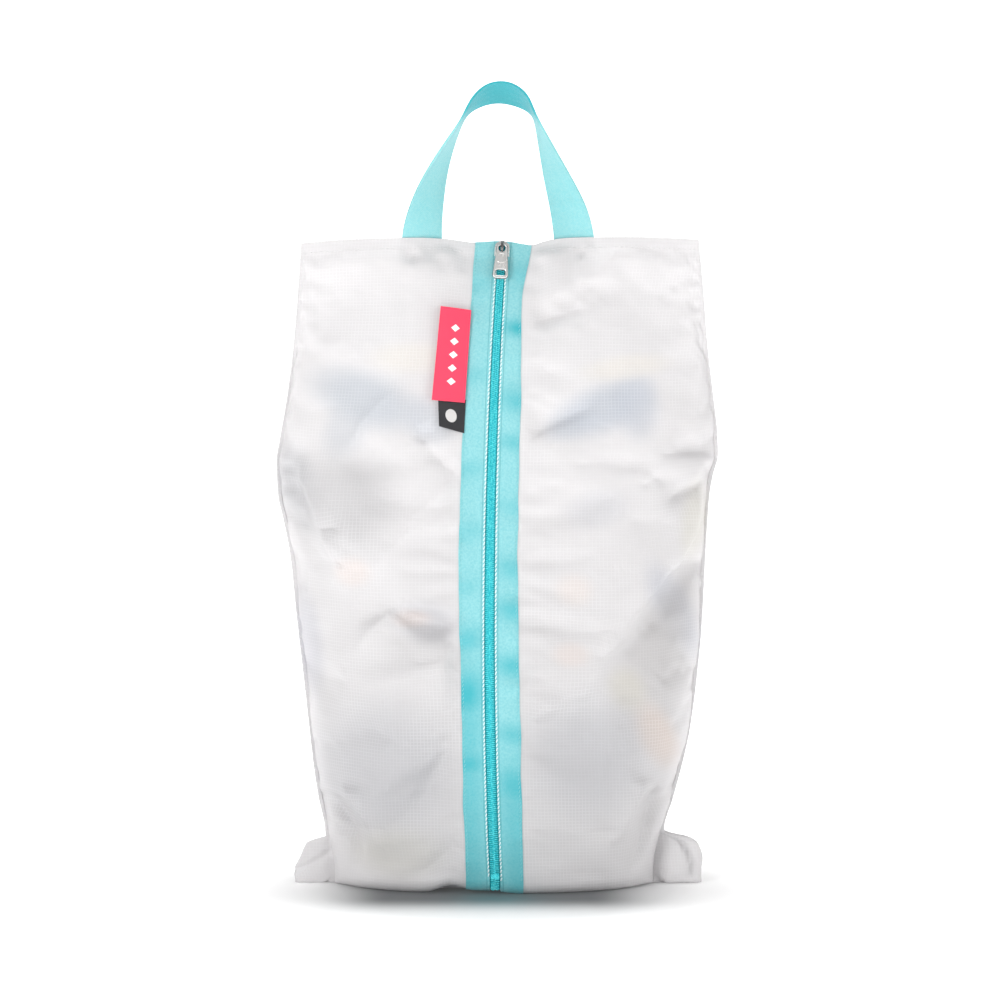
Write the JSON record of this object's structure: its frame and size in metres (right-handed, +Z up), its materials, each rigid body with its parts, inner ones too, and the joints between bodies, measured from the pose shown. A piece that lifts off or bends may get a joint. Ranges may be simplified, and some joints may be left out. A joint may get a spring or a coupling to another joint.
{
  "type": "shoe bag",
  "caption": "Standing fabric shoe bag with a full-length front zip, ribbon-covered zip edges, a pull tab and a webbing carry loop on top.",
  "frame": {"origin": "centre of the base on the floor, on the back panel's part of the base", "axes": "+Z up, the zip faces -Y, +X to the right seen from the front"},
  "size_m": [0.2698, 0.1096, 0.498],
  "materials": {
    "ripstop": "thin white ripstop nylon with a fine square grid, slightly translucent",
    "white_thread": "white polyester thread and binding tape",
    "ribbon": "pale aqua grosgrain ribbon",
    "thread": "pale aqua polyester thread",
    "zip_tape": "deep cyan woven tape",
    "zip_coil": "deep cyan nylon coil",
    "nickel": "polished nickel-plated zinc",
    "webbing": "aqua herringbone webbing",
    "red_label": "woven label, plain",
    "black_label": "woven label, plain"
  },
  "bodies": {
    "bag_body": {"back_panel": "ripstop", "side_seam_binding_left": "white_thread", "side_seam_binding_right": "white_thread", "side_seam_stitch_left": "white_thread", "side_seam_stitch_right": "white_thread", "top_seam_stitch_left": "white_thread", "top_seam_stitch_right": "white_thread", "handle_end_left": "webbing", "handle_end_right": "webbing", "zip_bottom_stop": "nickel"},
    "left_half": {"front_left_panel": "ripstop", "ribbon_left": "ribbon", "ribbon_left_inner_stitch": "thread", "ribbon_left_outer_stitch": "thread", "zip_tape_left": "zip_tape", "zip_coil_left": "zip_coil"},
    "right_half": {"front_right_panel": "ripstop", "ribbon_right": "ribbon", "ribbon_right_inner_stitch": "thread", "ribbon_right_outer_stitch": "thread", "zip_tape_right": "zip_tape", "zip_coil_right": "zip_coil"},
    "slider": {"slider_body": "nickel"},
    "puller": {"slider_puller": "nickel"},
    "handle": {"handle_webbing": "webbing"},
    "red_tab": {"label_red": "red_label"},
    "black_tab": {"label_black": "black_label"}
  },
  "joints": [
    {"name": "zip_slider_travel", "type": "hinge", "parent": "bag_body", "child": "slider", "pos_m": [0.09863, 0.54516, 0.14233], "axis": [0.9855, -0.1694, 0.0062], "range_deg": [0, 35.6]},
    {"name": "puller_flip", "type": "hinge", "parent": "slider", "child": "puller", "pos_m": [0.0026, -0.00749, 0.39581], "axis": [-0.998, 0.0248, 0.0586], "range_deg": [0, 165]},
    {"name": "mouth_left_opening", "type": "hinge", "parent": "bag_body", "child": "left_half", "pos_m": [-0.1225, -0.0013, 0.2], "axis": [0, 0, 1], "range_deg": [-18, 0], "deforming": ["front_left_panel", "ribbon_left", "ribbon_left_inner_stitch", "ribbon_left_outer_stitch", "zip_tape_left", "zip_coil_left"]},
    {"name": "mouth_right_opening", "type": "hinge", "parent": "bag_body", "child": "right_half", "pos_m": [0.1225, -0.0013, 0.2], "axis": [0, 0, 1], "range_deg": [0, 18], "deforming": ["front_right_panel", "ribbon_right", "ribbon_right_inner_stitch", "ribbon_right_outer_stitch", "zip_tape_right", "zip_coil_right"]},
    {"name": "handle_swing", "type": "hinge", "parent": "bag_body", "child": "handle", "pos_m": [0, 0, 0.4025], "axis": [1, 0, 0], "range_deg": [-90, 90]},
    {"name": "red_label_flap", "type": "hinge", "parent": "left_half", "child": "red_tab", "pos_m": [-0.01923, -0.02906, 0.33349], "axis": [0.0523, 0.3066, 0.9504], "range_deg": [0, 150]},
    {"name": "black_label_flap", "type": "hinge", "parent": "left_half", "child": "black_tab", "pos_m": [-0.0209, -0.0397, 0.2937], "axis": [0.0523, 0.2451, 0.9681], "range_deg": [0, 150]}
  ],
  "couplings": [
    {"joint": "mouth_left_opening", "follows": "zip_slider_travel", "ratio": -0.5},
    {"joint": "mouth_right_opening", "follows": "zip_slider_travel", "ratio": 0.5}
  ]
}
